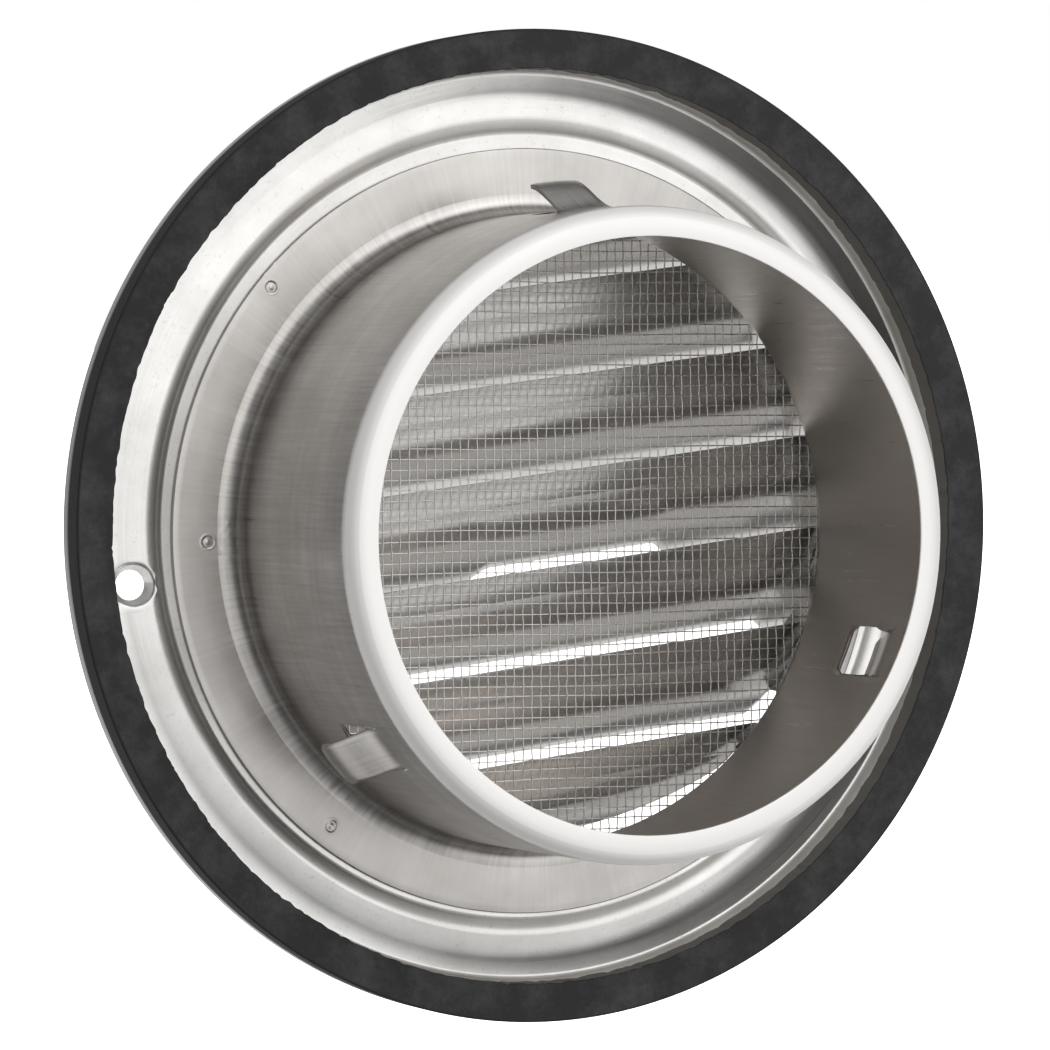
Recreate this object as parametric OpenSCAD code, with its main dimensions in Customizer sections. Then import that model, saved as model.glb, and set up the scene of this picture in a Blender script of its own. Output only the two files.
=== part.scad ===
// Round wall vent hood for a 100 mm duct: louvred front, flange with a foam gasket,
// spigot with spring tabs, insect screen.
// Z is up, the outdoor front faces -Y, the duct side faces +Y.
// Y = 0 is the wall plane, where the gasket bears; the flange axis is X = 0, Z = 0.

/* [Flange] */
// outer diameter of the flange
flange_d = 155; // [150:0.5:190]
// thickness of the hood's sheet
sheet = 0.5; // [0.4:0.05:0.6]
// depth of the turned rim
rim_depth = 2; // [1.5:0.1:6]
// width of the flat that carries the gasket
seat_w = 4.4; // [3.5:0.1:6]
// Y of the channel floor beside the seat
channel_y = -7; // [-8:0.1:-6.5]
// Y of the low crown between the channel and the spigot plate
crown_y = -6.1; // [-6.5:0.1:-5.5]
// Y of the flat that carries the spigot plate
plate_seat_y = -7.1; // [-7.7:0.1:-6.8]

/* [Gasket] */
// thickness of the gasket
gasket_t = 4; // [3:0.1:4.5]
// width of the gasket ring
gasket_w = 6.6; // [5:0.1:7]

/* [Fixing holes] */
// from the flange edge in to the hole centre
hole_inset = 10.8; // [10:0.1:12]
// diameter of the through hole
hole_d = 4.6; // [3:0.1:6]
// diameter of the dimple's mouth
dimple_d = 6.6; // [6.2:0.1:8]
// depth of the dimple, to its flat bottom
dimple_depth = 1.9; // [1:0.1:3]

/* [Spigot] */
// outer diameter of the spigot at its open end
spigot_d = 99; // [95:0.5:99.5]
// how much wider the tube is at its root, on the radius
draft = 0.1; // [0.05:0.05:0.4]
// Y of the spigot's open end
spigot_end = 39.3; // [36:0.1:80]
// how far the lip turns in from the tube's outside
lip_in = 4.6; // [3.5:0.1:8]
// radius of the lip's shoulder
lip_bend = 2.4; // [1.5:0.1:2.8]
// thickness of the spigot's sheet
wall = 0.6; // [0.4:0.05:0.8]
// width of the welded plate, from the tube's outside
plate_w = 10.6; // [9.5:0.1:11]
// radius of the bend between plate and tube
root_bend = 3.6; // [2:0.1:4.5]
// how far off centre the spigot was welded, in X
spigot_dx = -0.1; // [-1:0.1:1]
// how far off centre the spigot was welded, in Z
spigot_dz = -0.9; // [-1:0.1:1]

/* [Spring tabs] */
// width of a tab
tab_w = 8.2; // [5:0.1:12]
// Y of the tab's root
tab_root = 25.5; // [24:0.5:32]
// length of a tab along the tube
tab_len = 11.2; // [8:0.1:11.5]
// clear edge round a tab in its window
tab_gap = 0.25; // [0.1:0.05:0.5]
// reach of the tab's end outside the tube
tab_out = 4.4; // [2:0.1:6]

/* [Louvre] */
// number of blades
blades = 7; // [5:1:9]
// how many upper blades hang low enough to hide their slots
low_blades = 3; // [0:1:7]
// Y of the blades' upper edges
blade_y = -9.5; // [-10.1:0.1:-9.3]
// height of the flat strip at the top of a blade
strip_h = 4.2; // [3:0.1:5]
// slot between a blade and the next one's upper edge
slot_h = 0.95; // [0.6:0.05:2]

/* [Screen] */
// thickness of the screen's rim
screen_t = 0.4; // [0.3:0.05:0.6]
// pitch of the screen's openings
screen_pitch = 8.4; // [8.2:0.1:16]
// width of the bars between openings
screen_bar = 0.9; // [0.6:0.1:2]
// radius of the wire on each bar
wire_r = 0.2; // [0.15:0.05:0.3]
// turn of the weave against the louvres, in degrees
screen_turn = 7; // [0:1:45]

/* [Hidden] */
$fn = 128;

flange_r = flange_d / 2;
seat_y = -gasket_t;
seat_r = flange_r - seat_w;
small_bend = sheet + 0.2;
rim_bend = sheet + 0.3;

spigot_r = spigot_d / 2;
spigot_off = norm([spigot_dx, spigot_dz]);
plate_r = spigot_r + plate_w;
plate_low_y = plate_seat_y + wall;
plate_y = plate_low_y + screen_t;
joggle_r = plate_r - 4;
screen_r = joggle_r - 0.8;
step_r = plate_r + spigot_off + 0.2;

drum_r = spigot_r + 3.1;
drum_end_y = blade_y - 0.4;
blade_pitch = 2 * (drum_r - 0.6) / blades;
strip_lean = 1.2;
// The curve starts 5 degrees off the vertical and ends at 60, or 71 on a low blade.
curve_from = 5;
curve_to = 60;
curve_low = 71;
blade_bend = (blade_pitch - slot_h - strip_h) / (sin(curve_to) - sin(curve_from));
// The last blade ends in a bow of this radius, centred this far above the axis.
bow_r = 1.395 * drum_r;
bow_z = 0.45 * drum_r;
// Drain openings, from one angle to another, seen from the duct side.
drain_spans = [[218, 225.5], [230, 310], [314.5, 322]];
// A Y well in front of the blades' lips.
front_y = -30;

hole_r = flange_r - hole_inset;
dimple_top_y = crown_y - 0.1;
dimple_floor_y = dimple_top_y - dimple_depth;

weld_angles = [5, 47.5, 132.5, 175, 226.5, 313.5];
tab_angles = [90, 210, 330];
tab_corner = 1.3;
// A tab's root lies this far inside both faces of the tube's wall.
root_skin = 0.04;

// Points on an arc about c from angle a to b.
function arc(c, r, a, b, n) = [for (i = [0 : n]) let (t = a + (b - a) * i / n) c + r * [cos(t), sin(t)]];

function unit(v) = v / norm(v);
function left_of(v) = [-v[1], v[0]];

// The point t to the left of point i of a path, on the mitre of its two edges.
function beside(p, i, t) = let (
    a = left_of(unit(i > 0 ? p[i] - p[i - 1] : p[1] - p[0])),
    b = left_of(unit(i < len(p) - 1 ? p[i + 1] - p[i] : p[i] - p[i - 1]))
  ) p[i] + t * (a + b) / (1 + a * b);

// Outline of a sheet of thickness t that has the path as its right-hand face.
function skin(p, t) = concat(p, [for (i = [len(p) - 1 : -1 : 0]) beside(p, i, t)]);

// Turns an outline drawn as [radius, y] about the Y axis.
module turn_y() {
  rotate([-90, 0, 0]) rotate_extrude() children();
}

// Extrudes an outline drawn as [y, z] along X, centred.
module along_x(w) {
  rotate([90, 0, 90]) linear_extrude(height = w, center = true) children();
}

// Disc about the Y axis, from y0 to y1.
module disc_y(r, y0, y1) {
  translate([0, y0, 0]) rotate([-90, 0, 0]) cylinder(r = r, h = y1 - y0);
}

// Cone about the Y axis, radius r0 at y0 and r1 at y1.
module cone_y(r0, r1, y0, y1) {
  translate([0, y0, 0]) rotate([-90, 0, 0]) cylinder(r1 = r0, r2 = r1, h = y1 - y0);
}

// Places its children with X as the radius at angle a, seen from the duct side.
module at_angle(a) {
  rotate([0, a - 180, 0]) children();
}

// Wedge about the Y axis between angles a and b, seen from the duct side.
module sector_y(r, a, b, y0, y1) {
  translate([0, y1, 0]) rotate([90, 0, 0]) linear_extrude(height = y1 - y0)
    polygon(concat([[0, 0]], [for (i = [0 : 6]) let (t = a + (b - a) * i / 6) r * [-cos(t), sin(t)]]));
}

// Hood shell: one stainless sheet with rim, seat, channel, crown, drum and louvres.

// Rear face of the sheet from the rim's edge in to the drum.
shell_path = concat(
  [[flange_r, seat_y - rim_depth - 0.05]],
  arc([flange_r - rim_bend, seat_y - rim_bend], rim_bend, 0, 90, 4),
  arc([seat_r, seat_y - small_bend], small_bend, 90, 155, 4),
  arc([seat_r - 2.4, channel_y + 0.5], 0.5, -25, -98, 4),
  arc([step_r + 2.9, crown_y - 3], 3, 82, 122, 5),
  arc([step_r, plate_seat_y + 1.5], 1.5, -58, -90, 3),
  arc([drum_r + small_bend, plate_seat_y - small_bend], small_bend, 90, 180, 4),
  [[drum_r, drum_end_y]]
);

// Centre of a blade's curve, from the upper edge at [blade_y, 0].
bend_c = [blade_y - strip_lean - blade_bend * cos(curve_from), -strip_h + blade_bend * sin(curve_from)];

// Rear face of a blade from its upper edge to its lip.
function blade_path(to) = concat([[blade_y, 0]], arc(bend_c, blade_bend, -curve_from, -to, 14));

// Area between a blade's rear face and the drum's edge.
module cheek_section(to) {
  polygon(concat(
    [[drum_end_y + 0.6, 0]], blade_path(to), [[drum_end_y + 0.1, -blade_pitch], [drum_end_y + 0.6, -blade_pitch]]
  ));
}

// Ring of sheet that a blade's ends run into.
module drum_ring() {
  difference() {
    disc_y(drum_r + sheet, front_y, blade_y + 1);
    disc_y(drum_r, front_y - 1, blade_y + 2);
  }
}

// Blade k with the cheeks that close its ends, at its place in the drum.
module blade(k) {
  to = k < low_blades ? curve_low : curve_to;
  top = blade_pitch * (blades / 2 - k);
  intersection() {
    translate([0, 0, top]) along_x(2 * drum_r + 10) polygon(skin(blade_path(to), -sheet));
    disc_y(drum_r + sheet / 2, front_y, blade_y + 1);
  }
  intersection() {
    translate([0, 0, top]) along_x(2 * drum_r + 10) cheek_section(to);
    drum_ring();
  }
}

// The first blade is closed to the drum's top, and the last one ends in a bow above the drain.
module louvres() {
  for (k = [0 : blades - 2]) blade(k);
  intersection() {
    blade(blades - 1);
    translate([0, 0, bow_z]) disc_y(bow_r, front_y, 0);
  }
  intersection() {
    translate([-drum_r / 2, blade_y - sheet, drum_r - 1.2]) cube([drum_r, sheet, 2]);
    disc_y(drum_r + sheet / 2, front_y, 0);
  }
}

// Funnel pressed towards the front round a fixing hole, and the space inside it.
module dimple(x) {
  translate([x, 0, 0]) cone_y(hole_d / 2 + sheet, dimple_d / 2 + sheet, dimple_floor_y - sheet, dimple_top_y - 0.3);
}

module dimple_bore(x) {
  translate([x, 0, 0]) {
    disc_y(hole_d / 2, dimple_floor_y - 2, dimple_floor_y + 0.01);
    cone_y(hole_d / 2, dimple_d / 2, dimple_floor_y, dimple_top_y);
    disc_y(dimple_d / 2, dimple_top_y - 0.01, dimple_top_y + 1);
  }
}

// Drain openings low in the drum: a wide one and a small one each side.
module drains() {
  difference() {
    for (w = drain_spans)
      sector_y(drum_r + 3, w[0], w[1], front_y, plate_seat_y - small_bend - 0.1);
    disc_y(drum_r, front_y - 1, 0);
  }
}

module hood_shell() color([0.8, 0.79, 0.77]) {
  difference() {
    union() {
      turn_y() polygon(skin(shell_path, sheet));
      louvres();
      for (s = [-1, 1]) dimple(s * hole_r);
    }
    for (s = [-1, 1]) dimple_bore(s * hole_r);
    drains();
  }
}

// Spigot: deep-drawn tube with a plate, a turned lip and three lanced tabs.

// Outer face of the sheet from the plate's edge over the tube to the lip's edge. The tube keeps
// the draw's slight taper up to the tabs, and past them it is sized round.
spigot_path = concat(
  [[plate_r, plate_low_y], [joggle_r + 0.3, plate_low_y], [joggle_r - 0.3, plate_y]],
  arc([spigot_r + draft + root_bend, plate_y + root_bend], root_bend, 270, 180, 10),
  [[spigot_r, tab_root + 1.5]],
  arc([spigot_r - lip_bend, spigot_end - lip_bend - 0.65], lip_bend, 0, 76, 8),
  [[spigot_r - lip_in, spigot_end]]
);

// Outer face of a tab: rooted inside the tube's wall, an S bend, then nearly straight to its free end.
tab_path = concat(
  [[spigot_r - root_skin, tab_root + 1]],
  [for (i = [0 : 10]) let (t = i / 10)
    [spigot_r - root_skin + 0.92 * tab_out * (1 - cos(180 * t)) / 2, tab_root - 0.7 * tab_len * t]],
  [[spigot_r + tab_out, tab_root - tab_len - 0.5]]
);

// Plan of a tab or its window, rounded at the free end: w wide, from the root down to y0.
module tab_plan(w, y0) {
  translate([-w / 2, y0 + tab_corner]) square([w, tab_root + 2 - y0 - tab_corner]);
  translate([tab_corner - w / 2, y0]) square([w - 2 * tab_corner, 2 * tab_corner]);
  for (s = [-1, 1]) translate([s * (w / 2 - tab_corner), y0 + tab_corner]) circle(r = tab_corner, $fn = 32);
}

// The plan as a block through the tube's wall, reaching from Y = y0 up to y1.
module tab_block(w, y0, y1) {
  intersection() {
    translate([spigot_r, 0, 0]) rotate([0, 90, 0]) linear_extrude(height = 16, center = true) tab_plan(w, y0);
    translate([0, y0 - 1, -w]) cube([2 * spigot_r, y1 - y0 + 1, 2 * w]);
  }
}

module spigot() color([0.7, 0.69, 0.67]) translate([spigot_dx, 0, spigot_dz]) {
  difference() {
    turn_y() polygon(skin(spigot_path, wall));
    for (a = tab_angles) at_angle(a)
      tab_block(tab_w + 2 * tab_gap, tab_root - tab_len - tab_gap, tab_root);
    for (a = weld_angles) at_angle(a)
      translate([(plate_r + joggle_r) / 2 - 0.8, plate_low_y + 2.15, 0]) sphere(r = 2.4, $fn = 48);
  }
  for (a = tab_angles)
    intersection() {
      turn_y() polygon(skin(tab_path, 2 * root_skin - wall));
      at_angle(a) tab_block(tab_w, tab_root - tab_len, tab_root + 1);
    }
}

// Insect screen: woven disc gripped between the hood's flat and the spigot's plate.
module insect_screen() color([0.62, 0.62, 0.6])
  translate([spigot_dx, plate_seat_y, spigot_dz]) rotate([0, -screen_turn, 0]) {
    cells = ceil(screen_r / screen_pitch);
    difference() {
      disc_y(screen_r, 0, screen_t);
      for (i = [-cells : cells])
        for (j = [-cells : cells])
          if (norm([abs(i) + 0.5, abs(j) + 0.5]) * screen_pitch < screen_r - 1.5)
            translate([i * screen_pitch, screen_t / 2, j * screen_pitch])
              cube([screen_pitch - screen_bar, 2, screen_pitch - screen_bar], center = true);
    }
    // wires: upright ones on the duct side, level ones on the outdoor side
    for (i = [-cells : cells - 1]) {
      off = (i + 0.5) * screen_pitch;
      if (abs(off) < spigot_r - 8) {
        half = sqrt(pow(spigot_r - 1.5, 2) - pow(off, 2));
        translate([off, screen_t, -half]) cylinder(r = wire_r, h = 2 * half, $fn = 24);
        translate([-half, 0, off]) rotate([0, 90, 0]) cylinder(r = wire_r, h = 2 * half, $fn = 24);
      }
    }
  }

// Foam gasket: flat ring of black foam rubber, stuck on the flange's seat.
module foam_gasket() color([0.16, 0.16, 0.17]) difference() {
  disc_y(flange_r, seat_y, 0);
  disc_y(flange_r - gasket_w, seat_y - 1, 1);
}

hood_shell();
spigot();
insect_screen();
foam_gasket();
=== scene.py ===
"""Round stainless wall vent hood for a 100 mm duct, seen from the duct side."""
import math

import bmesh
import bpy
from mathutils import Matrix, Vector, noise


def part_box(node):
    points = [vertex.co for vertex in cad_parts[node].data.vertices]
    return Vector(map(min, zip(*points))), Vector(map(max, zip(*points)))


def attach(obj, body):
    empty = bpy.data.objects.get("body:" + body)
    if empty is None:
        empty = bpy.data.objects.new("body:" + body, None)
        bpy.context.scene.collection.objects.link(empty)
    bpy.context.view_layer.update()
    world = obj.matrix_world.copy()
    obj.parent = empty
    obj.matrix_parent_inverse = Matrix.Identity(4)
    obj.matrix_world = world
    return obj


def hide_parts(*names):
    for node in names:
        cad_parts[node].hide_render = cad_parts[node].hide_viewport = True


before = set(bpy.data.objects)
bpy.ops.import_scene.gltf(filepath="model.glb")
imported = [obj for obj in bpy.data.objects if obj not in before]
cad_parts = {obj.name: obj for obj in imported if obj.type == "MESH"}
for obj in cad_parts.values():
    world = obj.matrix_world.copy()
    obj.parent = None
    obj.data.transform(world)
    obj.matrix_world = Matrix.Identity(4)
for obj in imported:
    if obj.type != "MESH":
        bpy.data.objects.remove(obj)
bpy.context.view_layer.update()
MM = 0.001

# View: from the duct side, a little above and 24 degrees to the left of the duct's axis, with
# the hood held turned by about 7 degrees. A long lens, as for a catalogue picture.
VIEW_AZIMUTH = 156.21
VIEW_ELEVATION = 3.97
VIEW_DISTANCE = 862 * MM
VIEW_AIM = Vector((0, -4.4 * MM, 0))
VIEW_UP = Vector((-0.1298, 0, 0.9915))
LENS = 188.57
camera = bpy.data.objects.new("camera", bpy.data.cameras.new("camera"))
bpy.context.collection.objects.link(camera)
azimuth = math.radians(VIEW_AZIMUTH)
elevation = math.radians(VIEW_ELEVATION)
backward = Vector((math.sin(azimuth) * math.cos(elevation), -math.cos(azimuth) * math.cos(elevation),
                   math.sin(elevation)))
rightward = VIEW_UP.cross(backward).normalized()
upward = backward.cross(rightward)
camera.matrix_world = Matrix.Translation(VIEW_AIM + backward * VIEW_DISTANCE) @ Matrix(
    (rightward, upward, backward)).transposed().to_4x4()
camera.data.sensor_width = 36
camera.data.lens = LENS
camera.data.shift_x = -0.0102
camera.data.shift_y = 0.0007
camera.data.clip_start = 0.05
bpy.context.scene.camera = camera

# Hood shell: one bright stainless sheet, 0.5 mm. The flange is drawn with a rim, a flat seat, a
# channel and a low crown, and the louvre blades are pressed out of the middle, with their ends
# closed against a short drum. Everything but the blades is turned about the flange's axis.
SHEET = 0.5
shell_low, shell_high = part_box("hood_shell")
spigot_low, spigot_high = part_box("spigot")
gasket_low, gasket_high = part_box("foam_gasket")
FLANGE_R = shell_high.x / MM
SEAT_Y = gasket_low.y / MM
PLATE_SEAT_Y = spigot_low.y / MM
CHANNEL_Y = PLATE_SEAT_Y + 0.04
CROWN_Y = PLATE_SEAT_Y + 1.15
DRUM_R = 52.6
BLADE_Y = PLATE_SEAT_Y - 2.4
DRUM_END_Y = BLADE_Y - 0.4
TURN_STEPS = 288


def linear(code):
    """A colour written as sRGB hex, as linear red, green, blue and alpha."""
    values = [int(code[i:i + 2], 16) / 255 for i in (1, 3, 5)]
    return [v / 12.92 if v <= 0.04045 else ((v + 0.055) / 1.055) ** 2.4 for v in values] + [1]


def turned_sheet(corners, centre=(0, 0)):
    """A bmesh of a sheet's face turned about Y. Each corner is (radius, y, bend), in mm."""
    bm = bmesh.new()
    points = [bm.verts.new((r * MM, y * MM, 0)) for r, y, bend in corners]
    for first, second in zip(points, points[1:]):
        bm.edges.new((first, second))
    for point, (r, y, bend) in zip(points, corners):
        if bend:
            bmesh.ops.bevel(bm, geom=[point], offset=bend * MM, offset_type="OFFSET", segments=6,
                            profile=0.5, affect="VERTICES", material=-1)
    bmesh.ops.spin(bm, geom=bm.verts[:] + bm.edges[:], cent=(0, 0, 0), axis=(0, 1, 0),
                   angle=2 * math.pi, steps=TURN_STEPS, use_merge=True)
    bmesh.ops.remove_doubles(bm, verts=bm.verts[:], dist=1e-6)
    bmesh.ops.recalc_face_normals(bm, faces=bm.faces[:])
    bmesh.ops.translate(bm, verts=bm.verts[:], vec=(centre[0] * MM, 0, centre[1] * MM))
    return bm


def face_the_rear(bm, tell):
    """Turns all faces over if the one that comes first in the test points the wrong way."""
    face = next(f for f in bm.faces if tell(f.calc_center_median()))
    if face.normal.y < 0:
        bmesh.ops.reverse_faces(bm, faces=bm.faces[:])


def add_piece(name, bm, material, thickness=0, smooth=35):
    """Makes the bmesh an object of the scene, with sheet thickness on its hidden side."""
    mesh = bpy.data.meshes.new(name)
    bm.to_mesh(mesh)
    bm.free()
    mesh.shade_smooth()
    piece = bpy.data.objects.new(name, mesh)
    bpy.context.collection.objects.link(piece)
    if thickness:
        wall = piece.modifiers.new("sheet", "SOLIDIFY")
        wall.thickness = thickness * MM
        wall.offset = -1
    mesh.set_sharp_from_angle(angle=math.radians(smooth))
    flats = piece.modifiers.new("flats", "WEIGHTED_NORMAL")
    flats.keep_sharp = True
    flats.weight = 90
    mesh.materials.append(material)
    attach(piece, "root")
    return piece


def node(tree, kind, links=(), **settings):
    """Adds a node. A setting is an attribute, or an input's default if it starts with in_; links
    are (input, source socket) pairs."""
    made = tree.nodes.new(kind)
    for key, value in settings.items():
        if key.startswith("in_"):
            key = key[3:]
            made.inputs[int(key) if key.isdigit() else key.replace("_", " ").title()].default_value = value
        else:
            setattr(made, key, value)
    for socket, source in links:
        tree.links.new(source, made.inputs[socket])
    return made


def new_material(name):
    """A material with an empty tree, its shader node and its Object coordinates."""
    material = bpy.data.materials.new(name)
    material.use_nodes = True
    tree = material.node_tree
    shader = tree.nodes["Principled BSDF"]
    place = tree.nodes.new("ShaderNodeTexCoord").outputs["Object"]
    return material, tree, shader, place


def round_the_axis(tree, place, centre=(0, 0)):
    """Sockets for a turned piece: the direction round the Y axis as a unit vector, the radius
    and the distance along the axis, both in metres."""
    moved = node(tree, "ShaderNodeVectorMath", [(0, place)], operation="SUBTRACT",
                 in_1=(centre[0] * MM, 0, centre[1] * MM))
    flat = node(tree, "ShaderNodeVectorMath", [(0, moved.outputs[0])], operation="MULTIPLY", in_1=(1, 0, 1))
    unit = node(tree, "ShaderNodeVectorMath", [(0, flat.outputs[0])], operation="NORMALIZE")
    radius = node(tree, "ShaderNodeVectorMath", [(0, flat.outputs[0])], operation="LENGTH")
    parts = node(tree, "ShaderNodeSeparateXYZ", [(0, place)])
    return unit.outputs[0], radius.outputs["Value"], parts.outputs["Y"]


def streaks(tree, unit, along, turn, length, detail=3.0):
    """Noise drawn out along a coordinate: turn is how often it changes round the axis, length how
    often it changes per metre along the other way."""
    wide = node(tree, "ShaderNodeVectorMath", [(0, unit)], operation="SCALE", in_3=turn)
    far = node(tree, "ShaderNodeMath", [(0, along)], operation="MULTIPLY", in_1=length)
    shift = node(tree, "ShaderNodeCombineXYZ", [(1, far.outputs[0])])
    both = node(tree, "ShaderNodeVectorMath", [(0, wide.outputs[0]), (1, shift.outputs[0])], operation="ADD")
    return node(tree, "ShaderNodeTexNoise", [(0, both.outputs[0])], in_scale=1.0, in_detail=detail,
                in_roughness=0.6).outputs["Fac"]


def bright_sheet():
    """Bright annealed stainless sheet, pressed. The blades keep the mill's mirror, with a faint
    rolling grain. The flange has been rubbed by the die: it is satin, with fine marks round the
    rings, a cloudy polish and dark specks, and the sheared edge of its rim is grey."""
    material, tree, shader, place = new_material("pressed_stainless")
    unit, radius, along = round_the_axis(tree, place)
    flange = node(tree, "ShaderNodeMapRange", [(0, radius)], in_1=DRUM_R * MM, in_2=(DRUM_R + 1) * MM,
                  in_3=0.0, in_4=1.0).outputs[0]
    edge = node(tree, "ShaderNodeMapRange", [(0, radius)], in_1=(FLANGE_R - 0.5) * MM,
                in_2=(FLANGE_R - 0.2) * MM, in_3=0.0, in_4=0.75).outputs[0]
    round_marks = streaks(tree, unit, radius, 3.0, 5000.0)
    clouds = node(tree, "ShaderNodeTexNoise", [(0, place)], in_scale=60.0, in_detail=6.0, in_roughness=0.65)
    specks = node(tree, "ShaderNodeTexNoise", [(0, place)], in_scale=1500.0, in_detail=3.0, in_roughness=0.7)
    speck = node(tree, "ShaderNodeMapRange", [(0, specks.outputs["Fac"])], in_1=0.6, in_2=0.78, in_3=0.0,
                 in_4=0.45)
    grain_place = node(tree, "ShaderNodeMapping", [(0, place)], in_scale=(60.0, 900.0, 2400.0))
    grain = node(tree, "ShaderNodeTexNoise", [(0, grain_place.outputs[0])], in_scale=1.0, in_detail=3.0)
    cloudy = node(tree, "ShaderNodeMapRange", [(0, clouds.outputs["Fac"])], in_1=0.3, in_2=0.7, in_3=0.0,
                  in_4=1.0)
    tone = node(tree, "ShaderNodeMix", [(0, cloudy.outputs[0])], data_type="RGBA")
    tone.inputs[6].default_value = linear("#cbcac7")
    tone.inputs[7].default_value = linear("#e0dfdd")
    specked = node(tree, "ShaderNodeMix", [(0, speck.outputs[0]), (6, tone.outputs[2])], data_type="RGBA")
    specked.inputs[7].default_value = linear("#8d8a86")
    cut = node(tree, "ShaderNodeMix", [(0, edge), (6, specked.outputs[2])], data_type="RGBA")
    cut.inputs[7].default_value = linear("#6f6b67")
    sheet = node(tree, "ShaderNodeMix", [(0, flange), (7, cut.outputs[2])], data_type="RGBA")
    sheet.inputs[6].default_value = linear("#c6c4c1")
    tree.links.new(sheet.outputs[2], shader.inputs["Base Color"])
    satin = node(tree, "ShaderNodeMapRange", [(0, round_marks)], in_1=0.3, in_2=0.7, in_3=0.27, in_4=0.36)
    mirror = node(tree, "ShaderNodeMapRange", [(0, grain.outputs["Fac"])], in_1=0.3, in_2=0.7, in_3=0.19,
                  in_4=0.26)
    rough = node(tree, "ShaderNodeMix", [(0, flange), (2, mirror.outputs[0]), (3, satin.outputs[0])])
    tree.links.new(rough.outputs[0], shader.inputs["Roughness"])
    faint = node(tree, "ShaderNodeMath", [(0, grain.outputs["Fac"])], operation="MULTIPLY", in_1=0.25)
    height = node(tree, "ShaderNodeMix", [(0, flange), (2, faint.outputs[0]), (3, round_marks)])
    bump = node(tree, "ShaderNodeBump", [("Height", height.outputs[0])], in_strength=0.12, in_distance=0.00002)
    tree.links.new(bump.outputs[0], shader.inputs["Normal"])
    shader.inputs["Metallic"].default_value = 1
    return material


SHELL_CORNERS = [
    (FLANGE_R, SEAT_Y - 2.05, 0), (FLANGE_R, SEAT_Y, 0.8), (72.45, SEAT_Y, 0.5),
    (71.2, CHANNEL_Y + 0.02, 0.5), (69.4, CHANNEL_Y, 1.2), (66.6, CROWN_Y - 0.4, 2.2), (63.2, CROWN_Y, 1.3),
    (61.7, PLATE_SEAT_Y, 0.35),
    (DRUM_R, PLATE_SEAT_Y, 0.7), (DRUM_R, DRUM_END_Y, 0),
]
DRAIN_SECTORS = [(218, 225.5), (230, 310), (314.5, 322)]
HOLE_X = 66.7
HOLE_R = 2.3
DIMPLE_R = 3.3
DIMPLE_FLOOR_Y = CROWN_Y - 2.15


def rear_angle(place):
    """Angle about the Y axis in degrees, as seen from the duct side."""
    return math.degrees(math.atan2(place.z, -place.x)) % 360


def in_drain(place):
    return any(low < rear_angle(place) < high for low, high in DRAIN_SECTORS)


def height_at(corners, radius):
    """Y of a turned sheet's face at a radius, straight from corner to corner, in mm."""
    for (r0, y0, _), (r1, y1, _) in zip(corners, corners[1:]):
        if min(r0, r1) <= radius <= max(r0, r1) and r0 != r1:
            return y0 + (y1 - y0) * (radius - r0) / (r1 - r0)


def press(bm, corners, axis, centre, rings, closed, sides=40):
    """Presses a round form into a turned sheet's face. Each ring is (radius, depth, level): its
    depth is measured from the face, or, where level is true, it is a Y of its own."""
    spot = Vector((centre[0] * MM, 0, centre[1] * MM))
    axis = Vector((axis[0] * MM, 0, axis[1] * MM))
    first = rings[0][0] * MM
    face_y = height_at(corners, (spot - axis).length / MM) * MM

    def near(reach):
        return [f for f in bm.faces if abs(f.calc_center_median().y - face_y) < 1.5 * MM
                and (f.calc_center_median() - spot).xz.length < reach]
    for k in range(sides):
        way = Vector((math.cos(2 * math.pi * k / sides), 0, math.sin(2 * math.pi * k / sides)))
        area = near(first + 3 * MM)
        geometry = area + list({e for f in area for e in f.edges}) + list({v for f in area for v in f.verts})
        bmesh.ops.bisect_plane(bm, geom=geometry, dist=1e-8, plane_co=spot + way * first, plane_no=way)
    bmesh.ops.delete(bm, geom=near(first - 0.02 * MM), context="FACES")
    ring = [e for e in bm.edges if e.is_boundary and abs(e.verts[0].co.y - face_y) < 1.5 * MM
            and (e.verts[0].co - spot).xz.length < first * 1.05]
    for radius, depth, level in rings[1:]:
        made = bmesh.ops.extrude_edge_only(bm, edges=ring)["geom"]
        ring = [g for g in made if isinstance(g, bmesh.types.BMEdge)]
        for vert in [g for g in made if isinstance(g, bmesh.types.BMVert)]:
            out = Vector((vert.co.x - spot.x, 0, vert.co.z - spot.z)).normalized()
            place = spot + out * radius * MM
            base = 0 if level else height_at(corners, (place - axis).length / MM)
            vert.co = place + Vector((0, (base - depth) * MM, 0))
    if closed:
        bmesh.ops.contextual_create(bm, geom=ring)


def fixing_hole(bm, x):
    """A funnel pressed towards the front round the screw, with the through hole in its floor."""
    press(bm, SHELL_CORNERS, (0, 0), (x, 0), (
        (DIMPLE_R + 0.9, 0, False), (DIMPLE_R + 0.4, 0, False), (DIMPLE_R + 0.12, 0.04, False),
        (DIMPLE_R - 0.08, 0.16, False), (DIMPLE_R - 0.25, 0.42, False),
        (HOLE_R + 0.3, -DIMPLE_FLOOR_Y - 0.4, True), (HOLE_R + 0.05, -DIMPLE_FLOOR_Y - 0.05, True),
        (HOLE_R, -DIMPLE_FLOOR_Y + 0.1, True)), False)


shell = turned_sheet(SHELL_CORNERS)
face_the_rear(shell, lambda c: c.y > (SEAT_Y - 0.01) * MM)
drains = [f for f in shell.faces if f.calc_center_median().y < (PLATE_SEAT_Y - 0.8) * MM
          and f.calc_center_median().xz.length < (DRUM_R + 0.1) * MM and in_drain(f.calc_center_median())]
bmesh.ops.delete(shell, geom=drains, context="FACES")
for side in (-1, 1):
    fixing_hole(shell, side * HOLE_X)

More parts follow.
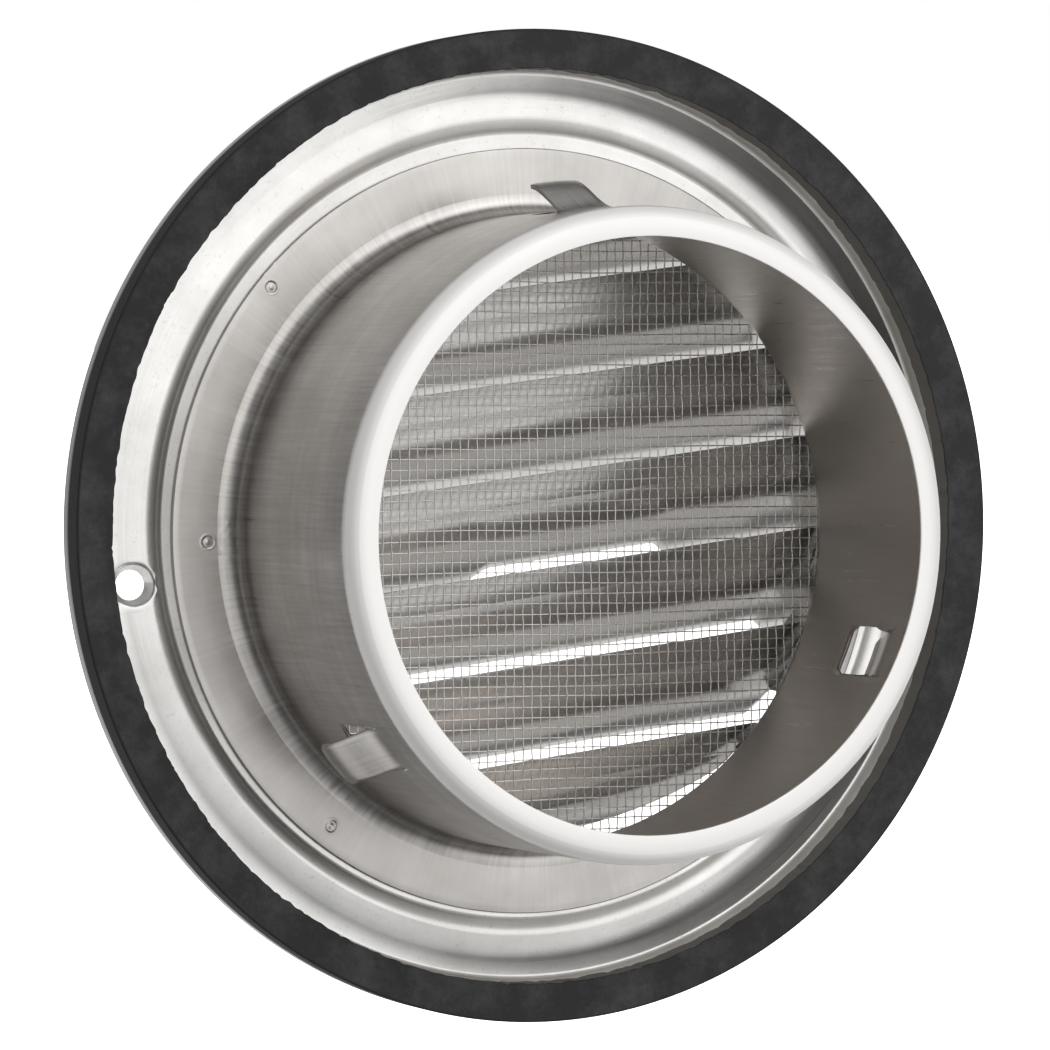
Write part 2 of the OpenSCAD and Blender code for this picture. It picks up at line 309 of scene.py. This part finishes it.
# Louvre blades, part of the same sheet. Each has a flat strip, a crease and a long curve down to
# its lip, and its ends run back to the drum as cheeks. The lips of the upper ones hang lower.
BLADES = 7
BLADE_PITCH = 2 * (DRUM_R - 0.6) / BLADES
STRIP = (1.2, 4.2)
CURVE_FROM = 5
CURVE_R = 12.46
LOW_CURVE = (69, 13.4)
LOW_BLADES = 3
# Two more lips hang low outside these x, which ends the slots under them.
SLOT_ENDS = {3: (-25.5, 4), 4: (-41.5, 60)}
LIP_DROP = (-2.2, -1.75)
BLADE_STEPS = 120
BOW_R = 1.395 * DRUM_R
BOW_Z = 0.45 * DRUM_R


def blade_profile(bm, top, curve_to, curve_r):
    """The section of a blade at x = 0, as a bent line from its upper edge to its lip."""
    first, last = math.radians(CURVE_FROM), math.radians(curve_to)
    reach = curve_r * math.tan((last - first) / 2)
    crease = Vector((0, BLADE_Y - STRIP[0], top - STRIP[1]))
    corner = crease + reach * Vector((0, -math.sin(first), -math.cos(first)))
    lip = corner + reach * Vector((0, -math.sin(last), -math.cos(last)))
    points = [bm.verts.new(p * MM) for p in (Vector((0, BLADE_Y, top)), crease, corner, lip)]
    for pair in zip(points, points[1:]):
        bm.edges.new(pair)
    bmesh.ops.bevel(bm, geom=[points[2]], offset=0.999 * reach * MM, offset_type="OFFSET", segments=18,
                    profile=0.5, affect="VERTICES", material=-1)
    bmesh.ops.bevel(bm, geom=[points[1]], offset=0.45 * MM, offset_type="OFFSET", segments=3,
                    profile=0.5, affect="VERTICES", material=-1)


def half_chord(z):
    """Half the drum's width at a height."""
    return math.sqrt(max((DRUM_R * MM) ** 2 - z * z, 0))


def blade(number):
    bm = bmesh.new()
    top = BLADE_PITCH * (BLADES / 2 - number)
    blade_profile(bm, top, *(LOW_CURVE if number < LOW_BLADES else (60, CURVE_R)))
    line = bm.edges[:]
    for vert in bm.verts:
        vert.co.x = -1
    for step in range(1, BLADE_STEPS + 1):
        made = bmesh.ops.extrude_edge_only(bm, edges=line)["geom"]
        line = [g for g in made if isinstance(g, bmesh.types.BMEdge)]
        for vert in [g for g in made if isinstance(g, bmesh.types.BMVert)]:
            vert.co.x = 2 * step / BLADE_STEPS - 1
    ends = {-1: [], 1: []}
    for edge in bm.edges:
        for side in ends:
            if all(abs(v.co.x - side) < 1e-6 for v in edge.verts):
                ends[side].append(edge)
    for vert in bm.verts:
        vert.co.x *= half_chord(vert.co.z)
    if number in SLOT_ENDS:
        right, left = SLOT_ENDS[number]
        crease = (top - STRIP[1]) * MM
        lip = min(v.co.z for v in bm.verts)
        for vert in bm.verts:
            x = vert.co.x / MM
            closed = min(max(right - x, x - left, 0) / 2.5, 1)
            below = max((crease - vert.co.z) / (crease - lip), 0) ** 2
            vert.co.y += LIP_DROP[0] * below * closed * MM
            vert.co.z += LIP_DROP[1] * below * closed * MM
    if number == BLADES - 1:
        for k in range(-40, 41):
            way = Vector((math.sin(k * 0.02), 0, -math.cos(k * 0.02)))
            bmesh.ops.bisect_plane(bm, geom=bm.verts[:] + bm.edges[:] + bm.faces[:], dist=1e-8,
                                   plane_co=Vector((0, 0, BOW_Z * MM)) + way * BOW_R * MM, plane_no=way,
                                   clear_outer=True)
    for side in ends:
        edges = [e for e in ends[side] if e.is_valid]
        made = bmesh.ops.extrude_edge_only(bm, edges=edges)["geom"]
        for vert in [g for g in made if isinstance(g, bmesh.types.BMVert)]:
            vert.co.y = DRUM_END_Y * MM
        cheeks = [g for g in made if isinstance(g, bmesh.types.BMFace)]
        cut = [f for f in cheeks if in_drain(f.calc_center_median())]
        bmesh.ops.delete(bm, geom=cut, context="FACES")
    bmesh.ops.remove_doubles(bm, verts=bm.verts[:], dist=1e-6)
    bmesh.ops.recalc_face_normals(bm, faces=bm.faces[:])
    middle = min((f for f in bm.faces), key=lambda f: f.calc_center_median().length_squared)
    if middle.normal.y < 0:
        bmesh.ops.reverse_faces(bm, faces=bm.faces[:])
    return bm


for number in range(BLADES):
    part = blade(number)
    held = bpy.data.meshes.new("blade")
    part.to_mesh(held)
    part.free()
    shell.from_mesh(held)
    bpy.data.meshes.remove(held)

pressed_stainless = bright_sheet()
hood = add_piece("hood", shell, pressed_stainless, SHEET)
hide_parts("hood_shell")

# Insect screen: plain-woven stainless wire of 0.24 mm, 1.48 by 1.63 mm from wire to wire, cut
# as a disc and gripped between the hood's flat and the spigot's plate. It stands 7 degrees off
# the louvres, and handling has bent its wires a little out of line.
SPIGOT_X = (spigot_low.x + spigot_high.x) / 2 / MM
SPIGOT_Z = (spigot_low.z + spigot_high.z) / 2 / MM
SCREEN_R = 54.5
SCREEN_TURN = math.radians(7)
SCREEN_Y = PLATE_SEAT_Y + 0.2
WIRE_R = 0.12
UPRIGHT_PITCH = 1.48
LEVEL_PITCH = 1.63


def strayed(across, along, seed):
    """How far a wire has strayed from its place, in mm: slow waves and a few tight ones."""
    slow = noise.noise(Vector((across * 0.05, along * 0.03, seed)))
    quick = noise.noise(Vector((across * 0.6, along * 0.06, seed + 7)))
    return 0.45 * slow + 0.2 * quick


def weave():
    """Every wire as a curve over and under the ones it crosses, turned into one mesh."""
    curve = bpy.data.curves.new("weave", "CURVE")
    curve.dimensions = "3D"
    curve.bevel_depth = WIRE_R
    curve.bevel_resolution = 1
    for upright in (True, False):
        pitch, cross = (UPRIGHT_PITCH, LEVEL_PITCH) if upright else (LEVEL_PITCH, UPRIGHT_PITCH)
        count = int(SCREEN_R / pitch)
        for i in range(-count, count + 1):
            across = i * pitch
            half = math.sqrt(SCREEN_R ** 2 - across ** 2)
            crossings = [j for j in range(-int(SCREEN_R / cross) - 1, int(SCREEN_R / cross) + 2)
                         if abs(j * cross) < half]
            if len(crossings) < 2:
                continue
            wire = curve.splines.new("POLY")
            wire.points.add(len(crossings) - 1)
            for point, j in zip(wire.points, crossings):
                along = j * cross
                lift = WIRE_R * (1 if (i + j) % 2 == 0 else -1) * (1 if upright else -1)
                stray = across + strayed(across, along, 3 if upright else 11)
                point.co = ((stray, lift, along) if upright else (along, lift, stray)) + (1,)
    holder = bpy.data.objects.new("weave", curve)
    mesh = bpy.data.meshes.new_from_object(holder)
    bpy.data.objects.remove(holder)
    bpy.data.curves.remove(curve)
    place = Matrix.Translation((SPIGOT_X * MM, SCREEN_Y * MM, SPIGOT_Z * MM)) @ Matrix.Rotation(
        -SCREEN_TURN, 4, "Y") @ Matrix.Scale(MM, 4)
    mesh.transform(place)
    return mesh


def drawn_wire():
    """Drawn stainless wire: bright along its length, a little dull where it was pulled through
    the die."""
    material, tree, shader, place = new_material("drawn_stainless_wire")
    patches = node(tree, "ShaderNodeTexNoise", [(0, place)], in_scale=900.0, in_detail=2.0)
    tone = node(tree, "ShaderNodeMix", [(0, patches.outputs["Fac"])], data_type="RGBA")
    tone.inputs[6].default_value = linear("#c9c6c2")
    tone.inputs[7].default_value = linear("#f2f0ee")
    tree.links.new(tone.outputs[2], shader.inputs["Base Color"])
    rough = node(tree, "ShaderNodeMapRange", [(0, patches.outputs["Fac"])], in_1=0.3, in_2=0.7, in_3=0.22,
                 in_4=0.4)
    tree.links.new(rough.outputs[0], shader.inputs["Roughness"])
    shader.inputs["Metallic"].default_value = 1
    return material


woven = weave()
woven.shade_smooth()
woven.materials.append(drawn_wire())
screen = bpy.data.objects.new("screen", woven)
bpy.context.collection.objects.link(screen)
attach(screen, "root")
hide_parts("insect_screen")

# Spigot: deep-drawn stainless tube, 0.6 mm. Its plate is spot-welded on the hood's flat a
# little off centre, its open end is turned in as a satin lip, and three spring tabs are lanced
# out of its wall, rooted towards the lip.
WALL = 0.6
SPIGOT_R = 49.5
SPIGOT_END = spigot_high.y / MM
PLATE_LOW_Y = PLATE_SEAT_Y + WALL
PLATE_Y = PLATE_LOW_Y + 0.4
TAB_ANGLES = (88.6, 212.4, 330.2)
TAB_ROOT = 27.9
TAB_W = 8.2
TAB_LEN = 15
TAB_OUT = 4.7
TAB_ROWS = 24
WELDS = ((5, 56.9), (47.5, 57.4), (131.8, 57.9), (173.9, 54.4), (225.7, 56.7), (313.5, 56.9))
SPIGOT_CORNERS = [
    (60.1, PLATE_LOW_Y, 0), (59.4, PLATE_LOW_Y + 0.12, 0.5), (54.5, PLATE_Y - 0.02, 1.6),
    (SPIGOT_R + 0.1, PLATE_Y, 3.6), (SPIGOT_R, 28.5, 0),
    (SPIGOT_R, SPIGOT_END - 1.35, 1.9), (47.3, SPIGOT_END - 0.4, 0.5), (44.9, SPIGOT_END, 0),
]


def tab_rise(along):
    """How far a tab stands off the tube at a distance from its root, in mm: one long S-bend."""
    return TAB_OUT * (1 - math.cos(math.pi * min(along / (0.97 * TAB_LEN), 1))) / 2


def lance_tab(bm, angle):
    """Cuts a tab's outline in the wall, frees three of its sides and bends it outwards."""
    root = TAB_ROOT
    end = root - TAB_LEN
    turn = math.radians(angle)
    out = Vector((-math.cos(turn), 0, math.sin(turn)))
    across = Vector((0, 1, 0)).cross(out)
    centre = Vector((SPIGOT_X * MM, 0, SPIGOT_Z * MM))

    def local(p):
        """Position across the tab, along the tube and out from its axis, in mm."""
        q = (p - centre) / MM
        return q.dot(across), q.y, q.dot(out)

    def cut(co, normal, reach):
        area = [f for f in bm.faces if (lambda c: abs(c[0]) < reach and c[2] > 40 and end - 4 < c[1] < root + 4)(
            local(f.calc_center_median()))]
        geometry = area + list({e for f in area for e in f.edges}) + list({v for f in area for v in f.verts})
        bmesh.ops.bisect_plane(bm, geom=geometry, dist=1e-9, plane_co=co, plane_no=normal)
    for side in (-1, 1):
        cut(centre + side * across * TAB_W / 2 * MM, across, TAB_W)
    rows = [end + 1.5 + k * (TAB_LEN - 1.5) / TAB_ROWS for k in range(TAB_ROWS + 1)]
    for y in [end - 1.5, end] + rows:
        cut(Vector((0, y * MM, 0)), Vector((0, 1, 0)), TAB_W * 0.9)

    def inside(p):
        a, y, o = local(p)
        return abs(a) < TAB_W / 2 and end < y < root and o > 40
    patch = [f for f in bm.faces if inside(f.calc_center_median())]
    whole = set(patch)
    free = []
    for face in patch:
        for edge in face.edges:
            outside = [f for f in edge.link_faces if f not in whole]
            middle = local((edge.verts[0].co + edge.verts[1].co) / 2)
            if outside and middle[1] < root - 0.01:
                free.append(edge)
    corner = 1.5
    for vert in {v for e in free for v in e.verts}:
        a, y, o = local(vert.co)
        if abs(y - end) < 0.01:
            past = max(abs(a) - (TAB_W / 2 - corner), 0)
            vert.co.y += (corner - math.sqrt(max(corner ** 2 - past ** 2, 0))) * MM
    bmesh.ops.split_edges(bm, edges=list(set(free)))
    moved = {v for f in patch for v in f.verts}
    torn = {v for f in bm.faces if f not in whole for v in f.verts if v not in moved
            and abs(abs(local(v.co)[0]) - TAB_W / 2) < 0.02 and root - 7 < v.co.y / MM < root - 0.01
            and local(v.co)[2] > 40}
    for vert in moved:
        a, y, o = local(vert.co)
        if y < root - 0.01:
            narrow = 0.3 * a / (TAB_W / 2) * min((root - y) / 6, 1)
            vert.co += out * tab_rise(root - y) * MM - across * narrow * MM
            if y < end + 1.4:
                vert.co.y += 0.25 * MM
    # The lance has torn the wall at the two corners of the root, and left burrs there.
    for vert in torn:
        a, y, o = local(vert.co)
        jag = noise.noise(Vector((a * 3, y * 2.3, angle)))
        lift = max(0, 1 - abs(root - 3 - y) / 3.5)
        vert.co += out * (0.35 + 0.5 * jag) * lift * MM - across * math.copysign(0.4 * jag * lift, a) * MM


def drawn_tube():
    """Deep-drawn stainless, warm grey. The drawing has left long marks down the tube and out
    over the plate's bend; the lip was turned with a roller and is satin white."""
    material, tree, shader, place = new_material("deep_drawn_stainless")
    unit, radius, along = round_the_axis(tree, place, (SPIGOT_X, SPIGOT_Z))
    long_marks = streaks(tree, unit, along, 90.0, 60.0, 5.0)
    on_tube = node(tree, "ShaderNodeMapRange", [(0, radius)], in_1=54.5 * MM, in_2=52 * MM, in_3=0.22, in_4=0.9)
    draw_marks = node(tree, "ShaderNodeMix", [(0, on_tube.outputs[0]), (3, long_marks)], in_2=0.5).outputs[0]
    bands = streaks(tree, unit, along, 1.5, 420.0, 3.0)
    clouds = node(tree, "ShaderNodeTexNoise", [(0, place)], in_scale=90.0, in_detail=5.0, in_roughness=0.6)
    worn = node(tree, "ShaderNodeMath", [(0, bands), (1, clouds.outputs["Fac"])], operation="ADD")
    both = node(tree, "ShaderNodeMath", [(0, draw_marks), (1, worn.outputs[0])], operation="MULTIPLY")
    tone = node(tree, "ShaderNodeMapRange", [(0, both.outputs[0])], in_1=0.3, in_2=0.7, in_3=0.0, in_4=1.0)
    colour = node(tree, "ShaderNodeMix", [(0, tone.outputs[0])], data_type="RGBA")
    colour.inputs[6].default_value = linear("#aaa6a2")
    colour.inputs[7].default_value = linear("#cbc8c5")
    # The inside of the tube is painted a darker, plainer grey: painted shade, standing for the shadow inside the
    # tube.
    outside = node(tree, "ShaderNodeMapRange", [(0, radius)], in_1=(SPIGOT_R - 0.5) * MM,
                   in_2=(SPIGOT_R - 0.2) * MM, in_3=0.0, in_4=1.0)
    wall = node(tree, "ShaderNodeMix", [(0, outside.outputs[0]), (7, colour.outputs[2])], data_type="RGBA")
    wall.inputs[6].default_value = linear("#a69f98")
    lip = node(tree, "ShaderNodeMapRange", [(0, along)], in_1=(SPIGOT_END - 3.5) * MM, in_2=(SPIGOT_END - 2.1) * MM, in_3=0.0, in_4=1.0)
    finish = node(tree, "ShaderNodeMix", [(0, lip.outputs[0]), (6, wall.outputs[2])], data_type="RGBA")
    finish.inputs[7].default_value = linear("#eceae8")
    tree.links.new(finish.outputs[2], shader.inputs["Base Color"])
    rough = node(tree, "ShaderNodeMapRange", [(0, draw_marks)], in_1=0.3, in_2=0.7, in_3=0.26, in_4=0.4)
    dull = node(tree, "ShaderNodeMix", [(0, lip.outputs[0]), (2, rough.outputs[0])], in_3=0.6)
    tree.links.new(dull.outputs[0], shader.inputs["Roughness"])
    bump = node(tree, "ShaderNodeBump", [("Height", draw_marks)], in_strength=0.16, in_distance=0.00003)
    tree.links.new(bump.outputs[0], shader.inputs["Normal"])
    polish = node(tree, "ShaderNodeMapRange", [(0, lip.outputs[0])], in_1=0.0, in_2=1.0, in_3=1.0, in_4=0.5)
    tree.links.new(polish.outputs[0], shader.inputs["Metallic"])
    return material


tube = turned_sheet(SPIGOT_CORNERS, (SPIGOT_X, SPIGOT_Z))
face_the_rear(tube, lambda c: (Vector((c.x - SPIGOT_X * MM, c.z - SPIGOT_Z * MM))).length > 58 * MM)
for angle, at in WELDS:
    turn = math.radians(angle)
    spot = (SPIGOT_X - at * math.cos(turn), SPIGOT_Z + at * math.sin(turn))
    press(tube, SPIGOT_CORNERS, (SPIGOT_X, SPIGOT_Z), spot, (
        (1.35, 0, False), (1.15, -0.05, False), (0.98, -0.02, False), (0.8, 0.14, False),
        (0.45, 0.15, False), (0.25, 0.05, False), (0.1, 0.03, False)), True, 20)
for angle in TAB_ANGLES:
    lance_tab(tube, angle)
deep_drawn_stainless = drawn_tube()
spigot = add_piece("duct_spigot", tube, deep_drawn_stainless, WALL)
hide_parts("spigot")

# Foam gasket: flat ring of black cellular rubber, 4 mm, stuck on the flange's seat. Its outer
# edge was punched clean, and its inner edge is rough, as cut by hand.
GASKET_OUT = FLANGE_R
GASKET_IN = 71.4


def black_foam():
    """Fine-celled black rubber foam: matt, with grey scuffs and pin holes of a few tenths of a
    millimetre."""
    material, tree, shader, place = new_material("cellular_rubber")
    cells = node(tree, "ShaderNodeTexNoise", [(0, place)], in_scale=2600.0, in_detail=3.0)
    scuffs = node(tree, "ShaderNodeTexNoise", [(0, place)], in_scale=110.0, in_detail=8.0, in_roughness=0.78)
    shade = node(tree, "ShaderNodeMapRange", [(0, scuffs.outputs["Fac"])], in_1=0.45, in_2=0.75, in_3=0.0,
                 in_4=1.0)
    tone = node(tree, "ShaderNodeMix", [(0, shade.outputs[0])], data_type="RGBA")
    tone.inputs[6].default_value = linear("#1f1f20")
    tone.inputs[7].default_value = linear("#424040")
    unit, radius, along = round_the_axis(tree, place)
    # The cut inner side is painted a light grey: partly the cut cells' own grey, partly painted light, standing
    # for the floor's light falling on it from below.
    below = node(tree, "ShaderNodeMapRange", [(0, along)], in_1=-0.1 * MM, in_2=-0.4 * MM, in_3=0.0, in_4=1.0)
    within = node(tree, "ShaderNodeMapRange", [(0, radius)], in_1=(GASKET_IN + 1) * MM,
                  in_2=(GASKET_IN + 0.7) * MM, in_3=0.0, in_4=1.0)
    cut = node(tree, "ShaderNodeMath", [(0, below.outputs[0]), (1, within.outputs[0])], operation="MULTIPLY")
    sides = node(tree, "ShaderNodeMix", [(0, cut.outputs[0]), (6, tone.outputs[2])], data_type="RGBA")
    sides.inputs[7].default_value = linear("#6d6a66")
    rim = node(tree, "ShaderNodeMapRange", [(0, radius)], in_1=(GASKET_OUT - 0.5) * MM,
               in_2=(GASKET_OUT - 0.2) * MM, in_3=0.0, in_4=0.9)
    skin = node(tree, "ShaderNodeMix", [(0, rim.outputs[0]), (6, sides.outputs[2])], data_type="RGBA")
    skin.inputs[7].default_value = linear("#131313")
    tree.links.new(skin.outputs[2], shader.inputs["Base Color"])
    shader.inputs["Roughness"].default_value = 0.8
    bump = node(tree, "ShaderNodeBump", [("Height", cells.outputs["Fac"])], in_strength=0.35,
                in_distance=0.0001)
    tree.links.new(bump.outputs[0], shader.inputs["Normal"])
    return material


ring = bmesh.new()
section = [ring.verts.new((r * MM, y * MM, 0)) for r, y in (
    (GASKET_IN, SEAT_Y), (GASKET_OUT, SEAT_Y), (GASKET_OUT, 0), (GASKET_IN, 0))]
for pair in zip(section, section[1:] + section[:1]):
    ring.edges.new(pair)
for point, size in zip(section, (0.1, 0.1, 0.35, 0.15)):
    bmesh.ops.bevel(ring, geom=[point], offset=size * MM, offset_type="OFFSET", segments=3, profile=0.5,
                    affect="VERTICES", material=-1)
bmesh.ops.spin(ring, geom=ring.verts[:] + ring.edges[:], cent=(0, 0, 0), axis=(0, 1, 0),
               angle=2 * math.pi, steps=900, use_merge=True)
bmesh.ops.remove_doubles(ring, verts=ring.verts[:], dist=1e-7)
bmesh.ops.recalc_face_normals(ring, faces=ring.faces[:])
for vert in ring.verts:
    way = Vector((vert.co.x, 0, vert.co.z))
    if way.length < (GASKET_IN + 0.5) * MM:
        unit = way.normalized()
        wide = noise.noise(unit * 2.2 + Vector((0, 0, 4)))
        rough = noise.noise(unit * 45 + Vector((0, vert.co.y * 900, 9)))
        nick = max(noise.noise(unit * 110) - 0.25, 0)
        vert.co += unit * (0.4 * unit.x + 0.3 * wide + 0.22 * rough + 0.4 * nick) * MM
gasket = add_piece("gasket", ring, black_foam(), 0, 50)
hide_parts("foam_gasket")

def looked_at(tree):
    """1 for what the camera sees, straight or in metal or glass, and 0 for light that falls on."""
    path = tree.nodes.new("ShaderNodeLightPath").outputs
    mirrored = node(tree, "ShaderNodeMath", [(0, path["Is Glossy Ray"]), (1, path["Is Transmission Ray"])],
                    operation="MAXIMUM")
    return node(tree, "ShaderNodeMath", [(0, path["Is Camera Ray"]), (1, mirrored.outputs[0])],
                operation="MAXIMUM").outputs[0]


# Studio: white floor well below the hood, white beyond it, one large soft box behind the camera
# to the right and dark sides, which give the bent steel its dark lines.
floor_mesh = bpy.data.meshes.new("floor")
floor_bm = bmesh.new()
bmesh.ops.create_grid(floor_bm, x_segments=1, y_segments=1, size=6)
bmesh.ops.translate(floor_bm, verts=floor_bm.verts[:], vec=(0, -6.12, -0.32))
floor_bm.to_mesh(floor_mesh)
floor_bm.free()
floor = bpy.data.objects.new("floor", floor_mesh)
bpy.context.collection.objects.link(floor)
floor_material, floor_tree, floor_shader, floor_place = new_material("white_floor")
floor_shader.inputs["Base Color"].default_value = linear("#f4f4f4")
floor_shader.inputs["Roughness"].default_value = 0.9
floor_mesh.materials.append(floor_material)
# The floor looks white to the camera and still shows shadows: part of its white is its own.
glow = node(floor_tree, "ShaderNodeMath", [(0, looked_at(floor_tree))], operation="MULTIPLY", in_1=0.42)
facing = floor_tree.nodes.new("ShaderNodeLightPath").outputs["Is Camera Ray"]
white = node(floor_tree, "ShaderNodeMath", [(0, glow.outputs[0]), (1, facing)], operation="ADD")
own_white = node(floor_tree, "ShaderNodeEmission", [("Strength", white.outputs[0])])
together = node(floor_tree, "ShaderNodeAddShader", [(0, floor_shader.outputs[0]), (1, own_white.outputs[0])])
floor_tree.links.new(together.outputs[0], floor_tree.nodes["Material Output"].inputs["Surface"])


def soft_box(name, place, aim, size, power):
    """A rectangular lamp that faces a point."""
    lamp = bpy.data.lights.new(name, "AREA")
    lamp.shape = "RECTANGLE"
    lamp.size, lamp.size_y = size
    lamp.energy = power
    holder = bpy.data.objects.new(name, lamp)
    bpy.context.collection.objects.link(holder)
    holder.location = place
    holder.rotation_mode = "QUATERNION"
    holder.rotation_quaternion = (Vector(aim) - Vector(place)).to_track_quat("-Z", "Y")
    return holder


key = soft_box("key", (-0.3, 1.5, 0.45), (0, 0, 0), (1.7, 0.8), 5)
key.visible_glossy = False
fill = soft_box("fill", (0.9, 1.5, 1.1), (0, 0, 0), (1.2, 1.2), 9)
fill.visible_glossy = False

world = bpy.data.worlds.new("studio")
bpy.context.scene.world = world
world.use_nodes = True
sky = world.node_tree
background = sky.nodes["Background"]
way = sky.nodes.new("ShaderNodeTexCoord").outputs["Generated"]


def lobe(direction, inner, outer, strength):
    """Light of the world round a direction: full inside the first angle, none past the second."""
    cosine = node(sky, "ShaderNodeVectorMath", [(0, way)], operation="DOT_PRODUCT",
                  in_1=Vector(direction).normalized())
    return node(sky, "ShaderNodeMapRange", [(0, cosine.outputs["Value"])], interpolation_type="SMOOTHSTEP",
                in_1=math.cos(math.radians(outer)), in_2=math.cos(math.radians(inner)), in_3=0.0,
                in_4=strength).outputs[0]


level = lobe((0, -1, 0), 50, 88, 0.55)
for lamp in (((-0.21, 0.93, 0.28), 23, 43, 1.4), ((-0.4, 0.65, 0.64), 8, 28, 2.2),
             ((0.5, 0.87, -0.1), 5, 34, 0.65),
             ((-0.55, 0.52, -0.65), 12, 36, 1.3), ((-1, 0.1, -0.05), 12, 40, 0.3),
             ((0, 0.2, 1), 25, 70, 0.25)):
    level = node(sky, "ShaderNodeMath", [(0, level), (1, lobe(*lamp))], operation="MAXIMUM").outputs[0]
dim = node(sky, "ShaderNodeMath", [(0, level)], operation="ADD", in_1=0.12)
seen = sky.nodes.new("ShaderNodeLightPath").outputs["Is Camera Ray"]
shown = node(sky, "ShaderNodeMath", [(0, dim.outputs[0]), (1, seen)], operation="MAXIMUM")
sky.links.new(shown.outputs[0], background.inputs["Strength"])
background.inputs["Color"].default_value = (1, 1, 1, 1)
bpy.context.scene.view_settings.view_transform = "Standard"
